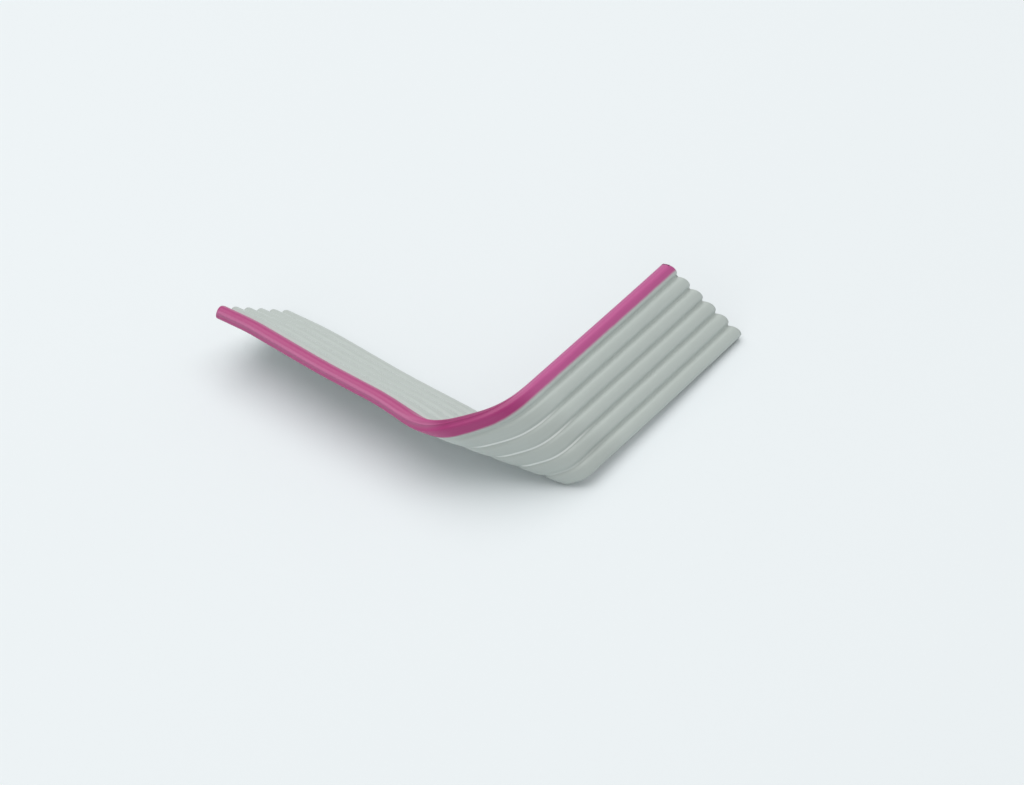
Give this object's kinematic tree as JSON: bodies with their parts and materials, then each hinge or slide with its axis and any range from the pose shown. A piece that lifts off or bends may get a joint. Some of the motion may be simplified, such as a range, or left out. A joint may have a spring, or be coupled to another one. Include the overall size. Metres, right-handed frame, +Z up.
{
  "type": "ribbon cable",
  "caption": "Short bare offcut of grey flat ribbon cable with a magenta marked edge wire, folded over on the slant and resting on its far edge.",
  "frame": {"origin": "centre of the cable's bounding box at the table it lies on", "axes": "+X along the longest extent, from the left leg to the right leg, +Y away from the fold, +Z up from the table"},
  "size_m": [0.035, 0.0166, 0.0067],
  "materials": {
    "grey_pvc": "soft satin extrusion",
    "tinned_copper": "tinned, cut end"
  },
  "bodies": {
    "root": {"insulation": "grey_pvc", "conductor_1_strand_1": "tinned_copper", "conductor_1_strand_2": "tinned_copper", "conductor_1_strand_3": "tinned_copper", "conductor_1_strand_4": "tinned_copper", "conductor_1_strand_5": "tinned_copper", "conductor_1_strand_6": "tinned_copper", "conductor_1_strand_7": "tinned_copper", "conductor_2_strand_1": "tinned_copper", "conductor_2_strand_2": "tinned_copper", "conductor_2_strand_3": "tinned_copper", "conductor_2_strand_4": "tinned_copper", "conductor_2_strand_5": "tinned_copper", "conductor_2_strand_6": "tinned_copper", "conductor_2_strand_7": "tinned_copper", "conductor_3_strand_1": "tinned_copper", "conductor_3_strand_2": "tinned_copper", "conductor_3_strand_3": "tinned_copper", "conductor_3_strand_4": "tinned_copper", "conductor_3_strand_5": "tinned_copper", "conductor_3_strand_6": "tinned_copper", "conductor_3_strand_7": "tinned_copper", "conductor_4_strand_1": "tinned_copper", "conductor_4_strand_2": "tinned_copper", "conductor_4_strand_3": "tinned_copper", "conductor_4_strand_4": "tinned_copper", "conductor_4_strand_5": "tinned_copper", "conductor_4_strand_6": "tinned_copper", "conductor_4_strand_7": "tinned_copper", "conductor_5_strand_1": "tinned_copper", "conductor_5_strand_2": "tinned_copper", "conductor_5_strand_3": "tinned_copper", "conductor_5_strand_4": "tinned_copper", "conductor_5_strand_5": "tinned_copper", "conductor_5_strand_6": "tinned_copper", "conductor_5_strand_7": "tinned_copper", "conductor_6_strand_1": "tinned_copper", "conductor_6_strand_2": "tinned_copper", "conductor_6_strand_3": "tinned_copper", "conductor_6_strand_4": "tinned_copper", "conductor_6_strand_5": "tinned_copper", "conductor_6_strand_6": "tinned_copper", "conductor_6_strand_7": "tinned_copper"}
  },
  "joints": []
}
